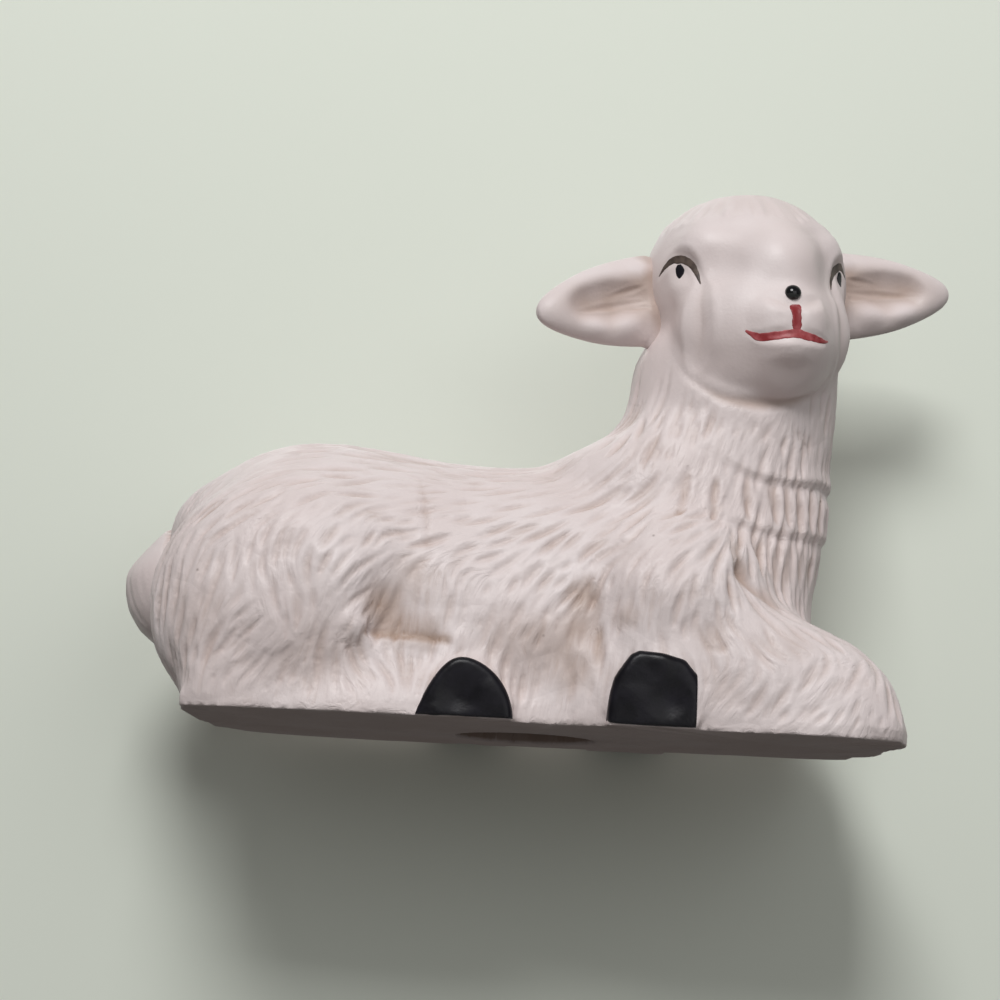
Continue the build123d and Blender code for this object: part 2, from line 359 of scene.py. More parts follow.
# Places along and up the flank, then the radius and the height of each pat.
flank_pats = (
    (-13.2, 9.2, 3.0, -0.45), (-12.6, 12.4, 2.6, -0.25), (-16.9, 7.5, 1.9, 0.55), (-16.2, 10.8, 2.6, -0.3),
    (-7.6, 7.0, 1.6, 0.3), (-18.6, 12.6, 4.6, 0.45), (-21.5, 16.5, 5.0, 0.35), (-29.0, 9.0, 4.5, 0.25),
    (4.3, 12.9, 2.0, 0.25), (7.0, 9.9, 1.6, 0.25), (4.2, 8.4, 2.4, -0.4), (9.4, 12.6, 4.4, 0.55),
    (8.4, 8.6, 2.6, 0.25), (-3.0, 9.0, 5.0, 0.3), (20.0, 4.6, 4.0, 0.25), (13.2, 12.8, 2.4, 0.2),
    (16.5, 15.3, 1.5, 0.4),
)
# The folds: half width, depth, and places along and up.
flank_folds = (
    (0.5, 0.14, ((-16.5, 7.2), (-14.6, 7.2), (-11.6, 7.1), (-8.0, 6.7))),
    (0.7, 0.12, ((3.0, 14.6), (3.9, 12.2), (4.4, 10.4), (4.2, 8.6))),
    (0.8, 0.40, ((4.8, 9.2), (4.7, 7.4), (4.5, 5.4))),
    (0.7, 0.3, ((15.4, 17.2), (16.7, 15.2), (18.2, 13.5), (20.4, 12.2), (22.8, 11.4))),
    (0.6, 0.15, ((13.3, 10.8), (13.5, 9.0), (14.6, 7.4), (15.9, 7.4), (16.0, 9.0))),
    (0.6, 0.16, ((-12.3, 22.7), (-11.4, 20.0), (-11.1, 17.5), (-10.7, 15.0))),
)
for side in (-1, 1):
    for x, z, radius, height in flank_pats:
        casting.dab(on_flank(x, z, side), radius, height)
    for half_width, depth, places in flank_folds:
        casting.groove(flank_path(places, side), half_width, depth, blunt=0.5, lip=0.25)
    foot_top = flank_path(((-18.0, 6.7), (-14.6, 7.0), (-11.6, 7.0), (-8.0, 6.4)), side)
    casting.shingle(foot_top, Vector((0, 0, 1)), 0.2, 2.0)

# The swelling of the rump over the tail.
behind_rump_x = -60
for y, rise in ((-5.5, 0.4), (0, 0.75), (5.5, 0.4)):
    rump = casting.surface.ray_cast(Vector((behind_rump_x, y, 19.6)), Vector((1, 0, 0)))[0]
    casting.dab(rump, 6.0, rise)

# The neck's wool hangs in two tiers with a row of thick locks between them. Each place is a bearing
# round the neck and a height.
upper_tier = ((-22, 26.0), (-16, 25.8), (-9, 25.4), (3, 24.6), (19, 24.2), (45, 24.4), (66, 24.8))
lower_tier = ((-34, 22.6), (-27, 21.6), (-14, 20.3), (3, 19.4), (21, 19.2), (51, 19.4), (70, 19.7))
tier_round = ((95, 0.2), (120, 0.0), (145, 0.3), (170, 1.0), (195, 1.8), (214, 2.2))
upper_tier += tuple((bearing, 24.6 + rise * 0.5) for bearing, rise in tier_round)
lower_tier += tuple((bearing, 19.6 + rise) for bearing, rise in tier_round)
for tier, overhang in ((upper_tier, 0.48), (lower_tier, 0.32)):
    casting.shingle(neck_path(tier), Vector((0, 0, -1)), overhang, 1.9)
lobe_bearings = (-28, -15, 3, 22, 32, 42, 54, 66, 79, 94, 109, 124, 140, 156, 172, 188, 203)
lobe_random = random.Random(3)
for bearing in lobe_bearings:
    top_z = 24.0 + lobe_random.uniform(-0.2, 0.3)
    lobe_path = neck_path(((bearing, top_z), (bearing - 1, 22.2), (bearing, 19.8)))
    casting.groove(lobe_path, 0.55, lobe_random.uniform(0.4, 0.55), blunt=0.35, lip=0.6)
for bearing in (-2, 11, 24, 34, 47, 62, 78, 94, 111, 128, 146):
    lock_path = neck_path(((bearing, 18.3), (bearing - 2, 16.6), (bearing - 1, 14.6)))
    casting.groove(lock_path, 0.6, 0.34, blunt=0.4, lip=0.4)

# The face, worked in the round about the middle of the head: each place is a bearing from straight
# ahead, less than zero on the right, and a height.
head_place = (
    Matrix.Translation((18.7, -2.0, 44.9))
    @ Matrix.Rotation(math.radians(16), 4, "Z")
    @ Matrix.Rotation(math.radians(-3.5), 4, "Y")
)


def on_face(bearing, height):
    """Where the face lies at a bearing and a height, seen from outside."""
    turn = math.radians(bearing)
    way = head_place.to_3x3() @ Vector((math.sin(turn), -math.cos(turn), 0))
    return casting.surface.ray_cast(head_place @ Vector((0, 0, height)) + way * beyond_head, -way)[0]


def face_path(places):
    """An even path on the face through a few places."""
    return wound([on_face(*place) for place in places], spacing=0.15)


# Bearing, height, radius and rise of each pat: brows, sockets, lids, cheeks, muzzle, lips and chin.
face_pats = (
    (-54, 2.9, 3.0, 0.55), (45, 3.0, 2.8, 0.5), (-61, 0.1, 2.1, -0.5), (48, 0.0, 2.1, -0.5),
    (-63, -2.4, 2.2, 0.35), (47, -2.3, 2.2, 0.35), (-38, -1.0, 3.4, -0.45), (25, -1.0, 3.2, -0.45),
    (-61, -5.0, 3.0, 0.3), (-60, -8.0, 3.2, 0.25), (46, -5.0, 3.0, 0.3), (44, -8.0, 3.2, 0.25),
    (-3, 0.5, 4.0, 0.25), (-14.5, -5.9, 2.4, 0.55), (6.5, -6.0, 2.3, 0.5), (-4.0, -9.3, 2.2, 0.45),
    (-14.0, -9.3, 2.0, 0.2), (6.0, -9.3, 2.0, 0.2), (-4.0, -11.3, 2.4, -0.2), (-2.5, -4.6, 1.3, -0.2),
    (-58, -11.0, 3.4, 0.5), (-38, -12.0, 3.6, 0.4),
)
for bearing, height, radius, rise in face_pats:
    casting.dab(on_face(bearing, height), radius, rise)
crown = casting.surface.ray_cast(head_place @ Vector((0, 0, 20)), Vector((0, 0, -1)))[0]
casting.dab(crown, 9.5, -0.6)
mouth_places = (
    (-25.4, -7.35), (-22.3, -7.75), (-18.6, -8.1), (-12, -8.1),
    (-3.8, -7.95), (2, -8.15), (10.5, -8.35), (14.5, -8.2),
)
# Half width, depth and places of each line that the tool draws: inner cheeks, nostrils, lip crease,
# mouth and lids.
face_lines = (
    (1.5, 0.40, ((-49.7, -1.6), (-49.4, -4.1), (-49.1, -6.3), (-52.0, -8.4), (-57.0, -10.2))),
    (1.5, 0.40, ((36.0, -1.6), (35.5, -4.1), (35.5, -6.3), (38.0, -8.4), (43.0, -10.2))),
    (0.75, 0.34, ((-15.5, -4.3), (-11.0, -4.7), (-7.0, -5.2), (-3.0, -5.35))),
    (0.75, 0.34, ((10.0, -4.2), (6.0, -4.7), (2.5, -5.1), (-2.0, -5.3))),
    (0.75, 0.34, ((-2.5, -5.0), (-2.7, -6.4), (-3.0, -7.8))),
    (0.75, 0.36, mouth_places),
    (0.7, 0.34, ((-82.0, -0.3), (-75.0, 0.7), (-66.0, 1.5), (-58.0, 1.1), (-53.0, -0.3), (-49.5, -2.0))),
    (0.7, 0.34, ((66.0, -0.3), (60.0, 0.7), (52.0, 1.4), (44.0, 0.9), (38.5, -0.5), (35.0, -2.0))),
)
jaw_line = (
    (-76.0, -6.8), (-69.0, -8.9), (-59.5, -10.9), (-51, -12.0), (-43, -12.8), (-31, -13.3),
    (-10, -13.5), (8, -13.2), (17, -12.7), (38, -11.8), (60, -9.4),
)
for half_width, depth, places in face_lines:
    casting.groove(face_path(places), half_width, depth, blunt=0.5, lip=0.3)
casting.groove(face_path(jaw_line), 0.9, 0.45, blunt=1.3, lip=0.0)

# The wool cap ends in a scalloped edge over the forehead.
cap_edge = (
    (-84, 4.4), (-72, 4.8), (-53, 4.1), (-36, 4.2), (-18, 3.95),
    (-5, 3.6), (9, 3.5), (35, 4.2), (52, 4.6), (66, 4.4),
)
casting.shingle(face_path(cap_edge), head_place.to_3x3() @ Vector((0, 0, -1)), 0.1, 1.4)
for bearing in range(-96, 76, 8):
    lean = lobe_random.uniform(-3, 3)
    places = ((bearing, 4.5 + lobe_random.uniform(0, 0.7)), (bearing + lean, 6.0), (bearing + lean, 8.6))
    casting.groove(face_path(places), 0.8, lobe_random.uniform(0.2, 0.34), blunt=0.6, lip=0.6)

# The bed of each hoof is a little lower than its rim.
for x, z, radius in ((-6.9, 2.2, 2.9), (9.6, 2.8, 3.2)):
    for side in (-1, 1):
        casting.dab(on_flank(x, z, side), radius, -0.6)
casting.lay(3)
casting.settle()
form_marks = np.minimum(casting.cut, 0)
casting.relief[:] = 0
casting.cut[:] = 0

# The wool, cut with a round-ended tool. These are the cuts that show on the right flank: for each, how
# far along and up its places lie, one place after another from where the lock springs to its tip.
flank_cuts = (
    (-26.8, 21.4, -32.9, 15.5), (-23.2, 19.6, -25.8, 17.0),
    (-23.2, 19.6, -27.6, 16.7, -30.5, 14.1, -31.8, 10.5), (-18.1, 24.5, -25.7, 21.9),
    (-13.9, 23.0, -22.1, 19.6), (-9.1, 23.7, -12.0, 24.2), (-33.2, 13.8, -33.5, 8.1),
    (-28.9, 14.2, -29.6, 11.5), (-27.7, 15.9, -28.2, 11.3), (-26.2, 15.3, -26.7, 12.1),
    (-24.7, 15.4, -25.2, 12.5, -24.2, 9.8), (-29.8, 12.0, -31.8, 7.0),
    (-24.5, 12.1, -24.0, 9.8, -23.2, 7.2), (-23.0, 12.6, -22.2, 9.9), (-20.5, 11.6, -20.4, 7.7),
    (-25.3, 9.4, -28.2, 6.6), (-24.1, 8.5, -26.6, 6.0, -28.0, 4.0), (-25.5, 6.6, -27.6, 3.6),
    (-24.8, 5.3, -27.3, 2.5), (-21.7, 6.2, -23.8, 3.1), (-21.4, 4.5, -22.5, 1.6), (-20.8, 4.0, -20.8, 1.7),
    (-19.2, 5.6, -19.3, 2.1), (-13.0, 15.8, -16.8, 12.6, -18.5, 10.2, -19.1, 8.2),
    (-14.8, 11.7, -17.3, 9.5, -18.3, 7.9), (-15.1, 10.1, -16.8, 7.6), (-17.1, 16.1, -18.8, 14.1),
    (-15.2, 17.0, -16.9, 14.2), (-20.1, 19.1, -21.8, 17.2), (-19.4, 16.5, -20.5, 14.4),
    (-30.5, 5.8, -31.1, 2.8), (-18.0, 4.9, -14.9, 1.0), (-16.3, 4.7, -14.2, 2.4), (-27.3, 14.1, -28.0, 9.3),
    (-30.1, 10.5, -30.7, 7.8), (-13.0, 12.9, -13.7, 7.9), (-10.5, 12.5, -10.8, 7.2),
    (-9.2, 13.8, -9.3, 8.2), (-11.5, 18.3, -14.5, 17.1), (-11.3, 16.6, -14.2, 15.7),
    (-6.2, 19.0, -9.5, 17.9), (4.0, 22.1, 1.4, 20.4, -4.4, 18.0), (3.6, 18.2, 0.5, 15.1),
    (7.8, 17.6, 4.4, 15.1, 3.7, 13.4), (8.3, 22.7, 4.4, 19.4, 1.4, 16.6),
    (10.2, 20.2, 8.0, 17.8, 6.1, 15.9, 4.2, 14.8), (-4.9, 12.7, -5.8, 10.8), (-2.4, 13.4, -3.6, 11.2),
    (1.3, 14.5, -0.2, 12.9, -1.5, 10.9), (2.3, 13.9, 0.2, 11.8), (-8.2, 12.3, -9.0, 7.3),
    (-5.5, 9.8, -6.2, 7.5), (-1.2, 9.1, -2.3, 6.7), (0.0, 8.8, -1.1, 5.8), (1.7, 8.3, 0.8, 4.0),
    (-1.1, 7.2, -1.3, 2.9), (2.7, 7.4, 1.9, 3.1), (3.9, 8.0, 3.3, 3.1), (5.4, 7.9, 4.8, 3.5),
    (-3.5, 15.5, -7.3, 14.0), (-1.6, 19.1, -7.4, 16.1), (6.0, 14.0, 5.4, 11.8),
    (10.1, 15.8, 8.6, 12.9, 8.3, 9.4), (12.9, 10.5, 12.2, 8.6, 13.0, 7.3), (13.8, 10.2, 15.2, 7.4),
    (9.9, 17.0, 7.9, 15.0, 6.9, 12.0), (13.9, 17.0, 11.2, 14.2, 10.0, 11.0), (14.4, 13.9, 13.9, 11.2),
    (16.0, 12.3, 16.2, 10.0, 18.0, 7.4), (19.0, 10.3, 20.2, 8.0, 21.5, 7.2), (20.9, 10.5, 23.8, 7.8),
    (24.2, 9.9, 27.1, 7.1), (8.0, 22.8, 5.4, 20.9), (11.0, 22.4, 8.0, 19.2, 5.1, 16.2),
    (12.2, 19.8, 9.0, 17.0), (18.1, 3.2, 16.8, 1.8), (20.0, 3.1, 19.0, 0.6), (21.8, 2.5, 20.3, 0.5),
    (23.7, 3.1, 21.7, 0.5), (25.5, 2.5, 23.0, 0.4), (26.8, 3.0, 25.0, 0.5), (28.1, 2.2, 27.0, 0.4),
    (29.1, 3.2, 28.6, 0.9), (30.0, 2.3, 29.6, 0.6), (23.3, 6.1, 22.4, 4.5), (26.0, 5.4, 24.6, 3.5),
    (28.8, 5.9, 27.7, 4.0), (16.0, 30.3, 15.1, 27.3), (17.4, 29.8, 16.7, 27.4), (19.3, 30.0, 18.4, 27.8),
    (20.7, 29.9, 19.4, 26.9), (22.2, 29.2, 21.4, 26.0), (23.3, 29.6, 23.6, 28.1), (24.6, 29.7, 24.5, 26.6),
    (13.7, 30.2, 12.8, 25.9), (10.3, 27.4, 9.4, 24.8), (11.4, 27.1, 10.5, 24.6), (12.1, 29.8, 11.4, 27.1),
    (8.8, 30.8, 7.8, 27.0),
)
cut_places = [list(zip(cut[::2], cut[1::2])) for cut in flank_cuts]

# How the wool lies where no cut shows: along the back, down the rump, the breast and the nape.
lies = [((x, 0, 26.0), (-1, 0, 0)) for x in range(-24, 8, 4)]
lies += [((-34.0, y, z), (-0.2, 0, -1)) for y in (-6, 0, 6) for z in (6, 12, 18)]
lies += [((27.0, y, z), (0, 0, -1)) for y in (-6, 0, 6) for z in (14, 20, 26)]
lies += [((x, 7.0, z), (-0.2, 0, -1)) for x in (10, 18, 26) for z in (26, 34, 42)]
lies += [((x, -14.0, 1.5), (-0.15, 0, -1)) for x in range(-30, 8, 3)]
for places in cut_places:
    for (x, z), (next_x, next_z) in zip(places, places[1:]):
        middle = on_flank((x + next_x) / 2, (z + next_z) / 2)
        lies.append((middle, Vector((next_x - x, 0, next_z - z)).normalized()))
lie_places = np.array([tuple(Vector(place)) for place, _ in lies])
lie_ways = np.array([tuple(Vector(way)) for _, way in lies])

# Which way the wool lies at each point of the skin, alike on both flanks.
crown_z = 36
points_at_once = 4000
lie_reach = 0.6
near_side = casting.points.copy()
near_side[:, 1] = -np.abs(near_side[:, 1])
ways = np.empty_like(near_side)
for start in range(0, len(ways), points_at_once):
    some = slice(start, start + points_at_once)
    far = ((near_side[some, None] - lie_places[None]) ** 2).sum(axis=2)
    ways[some] = (1 / (far + lie_reach) ** 2) @ lie_ways
ways[casting.points[:, 2] > crown_z] = (0.1, 0.1, -1)
ways -= casting.normals * (ways * casting.normals).sum(axis=1)[:, None]
ways /= np.maximum(np.linalg.norm(ways, axis=1), 1e-9)[:, None]

wool_random = random.Random(7)
cut_half_width = 0.56
cut_depth = 0.48
cut_sharpness = 1.6
marked_depth = 0.2
covered = form_marks < -marked_depth


def size_for(path):
    """How large a cut is for its length: a short one is slighter."""
    shortest_size, size_per_step = 0.55, 0.025
    return min(1.0, shortest_size + size_per_step * len(path))


def cut_wool(path, size, depth, blunt):
    """Cut along a path and note the ground that it covers."""
    cut = casting.groove(path, cut_half_width * size, depth, blunt, sharpness=cut_sharpness)
    for number, value in cut.items():
        covered[number] |= value < 0


for side in (-1, 1):
    for places in cut_places:
        path = flank_path(places, side)
        size = wool_random.uniform(0.8, 1.05) * size_for(path)
        cut_wool(path, size, cut_depth * size, 1.3)

# Shorter cuts fill the ground between them, long ones first. Each follows the lie of the wool from a
# free spot until it meets another cut. They come and go in patches, stay deep near the foot, and are
# shallow on the back of the head. The thick locks between the tiers of the neck have none.
wool_top_z = 31.0
wool_foot_z = 0.6
deep_z = 12
shallow_z = 33
usual_share = 0.75
shallow_share = 0.45
patch_contrast = 1.1
patch_scale = 0.16
least_share, most_share = 0.2, 1.1
locks_z = 22.0
locks_half_height = 2.0
locks_x = 12.0
walk_step = 0.3
clear_round = 0.36
into_head = np.array(head_place.inverted())
on_head = casting.points @ into_head[:3, :3].T + into_head[:3, 3]
cheek_bearing = 60
below_jaw = 0.5
behind_ears_y = 2.0
between_ears_x = 9.5
behind_face = (on_head[:, 1] > behind_ears_y) & (np.abs(on_head[:, 0]) < between_ears_x)
bearings = np.degrees(np.arctan2(on_head[:, 0], -on_head[:, 1]))
jaw_bearings, jaw_heights = np.array(jaw_line).T
jaw_z = np.interp(bearings, jaw_bearings, jaw_heights) - below_jaw
under_jaw = (np.abs(bearings) < cheek_bearing) & (on_head[:, 2] < jaw_z)
below_head = (np.abs(bearings) >= cheek_bearing) & (casting.points[:, 2] < wool_top_z)
woolly = under_jaw | below_head | behind_face
on_locks = (np.abs(casting.points[:, 2] - locks_z) < locks_half_height) & (casting.points[:, 0] > locks_x)
chosen = np.nonzero(~lining & (casting.points[:, 2] > wool_foot_z) & woolly & ~on_locks)[0]
# How many spots are tried, the shortest and longest reach, the least steps of a cut, and its size.
for tries, shortest, longest, least_steps, least, most in (
    (6000, 3.2, 7.0, 16, 0.85, 1.2),
    (8000, 2.2, 4.4, 12, 0.7, 1.0),
    (7000, 1.7, 3.0, 9, 0.6, 0.85),
):
    for _ in range(tries):
        start = int(chosen[wool_random.randrange(len(chosen))])
        spot = Vector(casting.points[start])
        if any(covered[number] for _, number, _ in casting.index.find_range(spot, clear_round)):
            continue
        reach = wool_random.uniform(shortest, longest)
        arms = []
        for sense in (1, -1):
            arm = []
            place = spot
            at = start
            for _ in range(int(reach / walk_step)):
                place = casting.surface.find_nearest(place + Vector(ways[at]) * sense * walk_step)[0]
                at = casting.index.find(place)[1]
                if place.z < wool_foot_z + 0.1 or covered[at]:
                    break
                arm.append(place)
            arms.append(arm)
        path = arms[1][::-1] + [spot] + arms[0]
        if len(path) < least_steps:
            continue
        size = wool_random.uniform(least, most) * size_for(path)
        height = casting.points[start, 2]
        patch = usual_share + patch_contrast * noise.noise(spot * patch_scale)
        patch = max(patch, usual_share * min(1.0, (deep_z - height) / 3))
        depth = cut_depth * size * max(least_share, min(patch, most_share))
        depth *= shallow_share if height > shallow_z else 1
        cut_wool(path, size, depth, 1.2)
wool_relief = casting.lay()
casting.settle()

# Nothing leaves the mould's own space, so the foot stays flat.
low, high = (np.array(corner) / mm for corner in cad_box)


def keep_inside(clay):
    """Hold a piece within the box of the whole ornament."""
    clay.points = np.clip(clay.points, low, high)
    clay.write()


keep_inside(casting)

# The wash and painted shade: a thin brown stain rubbed over the biscuit and wiped off again, so it stays in
# every cut. It is laid on by the depth of each hollow, so it also stands for the shade that falls in the
# cuts and folds.
wool_wash_and_shade = 0.55
full_wash_and_shade_depth = 0.32
hollows = -(form_marks + wool_relief * wool_wash_and_shade)
stain = np.clip(hollows / full_wash_and_shade_depth, 0, 1)
stain = (stain + casting.averaged(stain)) / 2
# Where it stands thick, as brown wash and as painted shade in the pockets, the creases and between the legs:
# places along and up the flank, radius and strength.
wash_and_shade_pools = (
    (-14.8, 9.8, 3.2, 0.85), (-13.4, 7.9, 2.6, 0.75), (-10.6, 7.5, 2.4, 0.6), (-12.0, 12.5, 3.0, 0.4),
    (3.4, 11.4, 2.6, 0.85), (3.0, 8.6, 2.6, 0.75), (2.6, 5.2, 3.6, 0.6), (0.2, 7.6, 3.4, 0.5),
    (-2.5, 7.0, 4.5, 0.45), (7.2, 9.8, 2.0, 0.4), (17.2, 14.6, 2.0, 0.7), (20.2, 12.4, 2.0, 0.6),
    (22.0, 8.2, 3.0, 0.3), (14.6, 8.0, 2.0, 0.4), (-20.0, 5.0, 6.0, 0.3), (-31.0, 8.0, 5.0, 0.3),
    (9.0, 26.0, 4.0, 0.2),
)
# The crease over the hind foot takes it thickly too: brown wash and painted shade in the crease.
foot_crease = tuple((-15.8 + 0.55 * step, 7.25 - 0.02 * step, 0.75, 0.8) for step in range(14))
for x, z, radius, strength in wash_and_shade_pools + foot_crease:
    for side in (-1, 1):
        for _, number, distance in casting.index.find_range(on_flank(x, z, side), radius):
            pool = strength * (1 - (distance / radius) ** 2) ** 2
            stain[number] = 1 - (1 - stain[number]) * (1 - pool)
wiped_share = 0.75
bare_face = in_front(31)
stain *= 1 - wiped_share * bare_face
# The lining of the hollow takes the full dark brown: painted shade inside the hollow.
stain[lining] = 1.0


def with_marks(mesh, **marks):
    """Keep a value from 0 to 1 at each point of a mesh under each name, for its material."""
    for name, values in marks.items():
        layer = mesh.attributes.new(name, "FLOAT", "POINT")
        layer.data.foreach_set("value", np.asarray(values, dtype=np.float32))


def add_node(tree, kind, inputs=None, **settings):
    """A node in a tree with its settings, whose inputs are each given a value or another node's output."""
    node = tree.nodes.new("ShaderNode" + kind)
    for name, value in settings.items():
        setattr(node, name, value)
    for name, value in (inputs or {}).items():
        if isinstance(value, bpy.types.NodeSocket):
            tree.links.new(value, node.inputs[name])
        else:
            node.inputs[name].default_value = value
    return node


def mixed(tree, share, first, second):
    """The colour between two colours at a share from 0 to 1."""
    node = add_node(tree, "Mix", {0: share, 6: first, 7: second}, data_type="RGBA")
    return node.outputs[2]


def times(tree, first, second):
    """The product of two values."""
    return add_node(tree, "Math", {0: first, 1: second}, operation="MULTIPLY").outputs[0]


def scaled(tree, vector, scale):
    """A vector at a scale."""
    return add_node(tree, "VectorMath", {0: vector, "Scale": scale}, operation="SCALE").outputs[0]


def from_two(tree, operation, first, second, output="Vector"):
    """What an operation makes of two vectors."""
    return add_node(tree, "VectorMath", {0: first, 1: second}, operation=operation).outputs[output]


def cleared(thing):
    """The empty node tree of a material or a sky."""
    thing.use_nodes = True
    thing.node_tree.nodes.clear()
    return thing.node_tree


def ranged(tree, value, low_in, high_in, low_out=0.0, high_out=1.0):
    """A value taken from one range to another and held inside it."""
    inputs = {"Value": value, 1: low_in, 2: high_in, 3: low_out, 4: high_out}
    return add_node(tree, "MapRange", inputs).outputs[0]


# Every fired surface has a fine grain and a slight unevenness of shine.
fired = bpy.data.node_groups.new("fired_surface", "ShaderNodeTree")
sockets = (("Grain Scale", "INPUT"), ("Mottle Scale", "INPUT"), ("Grain", "OUTPUT"), ("Mottle", "OUTPUT"))
for name, way in sockets:
    fired.interface.new_socket(name, in_out=way, socket_type="NodeSocketFloat")
group_in = fired.nodes.new("NodeGroupInput")
group_out = fired.nodes.new("NodeGroupOutput")
spot = add_node(fired, "TexCoord").outputs["Object"]
grain = add_node(fired, "TexNoise", {"Vector": spot, "Scale": group_in.outputs[0], "Detail": 4.0})
mottle = add_node(fired, "TexNoise", {"Vector": spot, "Scale": group_in.outputs[1], "Detail": 3.0})
fired.links.new(grain.outputs[0], group_out.inputs[0])
fired.links.new(mottle.outputs[0], group_out.inputs[1])


def fired_nodes(tree, grain_scale, mottle_scale=420.0):
    """The fired surface's grain and mottle in a material."""
    group = tree.nodes.new("ShaderNodeGroup")
    group.node_tree = fired
    group.inputs["Grain Scale"].default_value = grain_scale
    group.inputs["Mottle Scale"].default_value = mottle_scale
    return group.outputs["Grain"], group.outputs["Mottle"]


def put_out(tree, colour, shine, bump, shine_level):
    """End a fired material's tree with its shader."""
    inputs = {"Base Color": colour, "Roughness": shine, "Normal": bump.outputs[0]}
    shader = add_node(tree, "BsdfPrincipled", {**inputs, "Specular IOR Level": shine_level})
    add_node(tree, "OutputMaterial", {"Surface": shader.outputs[0]})


# Bisque: unglazed white porcelain, slightly pink, with the brown wash and the painted shade in its hollows,
# and with a few dark specks that the clay brought along wherever it isn't rubbed bare.
biscuit = bpy.data.materials.new("bisque_porcelain")
tree = cleared(biscuit)
grain, mottle = fired_nodes(tree, 3200.0)
spot = add_node(tree, "TexCoord").outputs["Object"]
cloud = add_node(tree, "TexNoise", {"Vector": spot, "Scale": 110.0, "Detail": 3.0}).outputs[0]
tint = mixed(tree, ranged(tree, cloud, 0.35, 0.65), (0.72, 0.625, 0.61, 1), (0.77, 0.685, 0.675, 1))
wash_and_shade_in_cuts = add_node(tree, "Attribute", attribute_name="stain").outputs["Fac"]
wash_and_shade_share = times(tree, wash_and_shade_in_cuts, ranged(tree, cloud, 0.3, 0.7, 0.45, 1.0))
# Hairs too fine to model run along each small lock, the way the wool lies there. Most of a place's run
# along its lock is taken off before the noise is read, which draws the noise out into lines.
lock_scale = 210.0
hair_scale = 1900.0
run_share = 0.86
lie = add_node(tree, "Attribute", attribute_name="lie").outputs["Vector"]
lock = add_node(tree, "TexVoronoi", {"Vector": spot, "Scale": lock_scale}).outputs["Position"]
lock_edge = add_node(tree, "TexVoronoi", {"Vector": spot, "Scale": lock_scale}, feature="DISTANCE_TO_EDGE")
in_lock = from_two(tree, "SUBTRACT", spot, lock)
run = times(tree, from_two(tree, "DOT_PRODUCT", in_lock, lie, "Value"), run_share)
over = from_two(tree, "SUBTRACT", in_lock, scaled(tree, lie, run))
hair_spot = from_two(tree, "ADD", scaled(tree, over, hair_scale), scaled(tree, lock, 900.0))
hair = add_node(tree, "TexNoise", {"Vector": hair_spot, "Scale": 1.0, "Detail": 2.0}).outputs[0]
wool_here = add_node(tree, "Attribute", attribute_name="wool").outputs["Fac"]
wool_here = times(tree, wool_here, ranged(tree, lock_edge.outputs["Distance"], 0.0, 0.14))
# The fine hair lines darken the colour too: brown wash and painted shade in grooves too fine to model.
hair_line = times(tree, ranged(tree, hair, 0.32, 0.46, 1.0, 0.0), wool_here)
wash_and_shade_share = add_node(tree, "Math", {0: hair_line, 1: 0.14, 2: wash_and_shade_share}, operation="MULTIPLY_ADD").outputs[0]
# The dark brown that the wash and the painted shade in the hollows take.
washed_and_shaded = mixed(tree, ranged(tree, wash_and_shade_share, 0.05, 1.0, 0.0, 0.85), tint, (0.33, 0.205, 0.135, 1))
speck = add_node(tree, "TexVoronoi", {"Vector": spot, "Scale": 420.0})
near_speck = ranged(tree, speck.outputs["Distance"], 0.01, 0.08, 1.0, 0.0)
drawn = add_node(tree, "SeparateColor", {0: speck.outputs["Color"]}).outputs[0]
rubbed = add_node(tree, "Attribute", attribute_name="rubbed").outputs["Fac"]
kept_specks = times(tree, ranged(tree, drawn, 0.86, 0.88), ranged(tree, rubbed, 0.2, 0.5, 1.0, 0.0))
specks = times(tree, near_speck, kept_specks)
surface_colour = mixed(tree, ranged(tree, specks, 0.0, 1.0, 0.0, 0.6), washed_and_shaded, (0.16, 0.11, 0.09, 1))
hair_relief = times(tree, ranged(tree, hair, 0.3, 0.6), wool_here)
hairs = add_node(tree, "Bump", {"Height": hair_relief, "Strength": 0.6, "Distance": 0.00008}).outputs[0]
bump = add_node(tree, "Bump", {"Height": grain, "Strength": 0.35, "Distance": 0.00006, "Normal": hairs})
put_out(tree, surface_colour, ranged(tree, mottle, 0.3, 0.7, 0.42, 0.56), bump, 0.45)


def shown(mesh, name, node, material):
    """Show a mesh in millimetres as the piece that stands for a node."""
    mesh.name = name
    mesh.transform(Matrix.Scale(mm, 4))
    mesh.shade_smooth()
    mesh.materials.clear()
    mesh.materials.append(material)
    piece = linked(name, mesh)
    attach(piece, "root")
    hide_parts(node)


wool_share = np.where(woolly, 1.0, 0.0)
for _ in range(6):
    wool_share = casting.averaged(wool_share)
with_marks(casting.mesh, stain=stain, rubbed=bare_face, wool=wool_share)
lie_layer = casting.mesh.attributes.new("lie", "FLOAT_VECTOR", "POINT")
lie_layer.data.foreach_set("vector", ways.astype(np.float32).ravel())
kept_share = 0.71
thinned = worn_by(casting.mesh, "DECIMATE", ratio=kept_share)


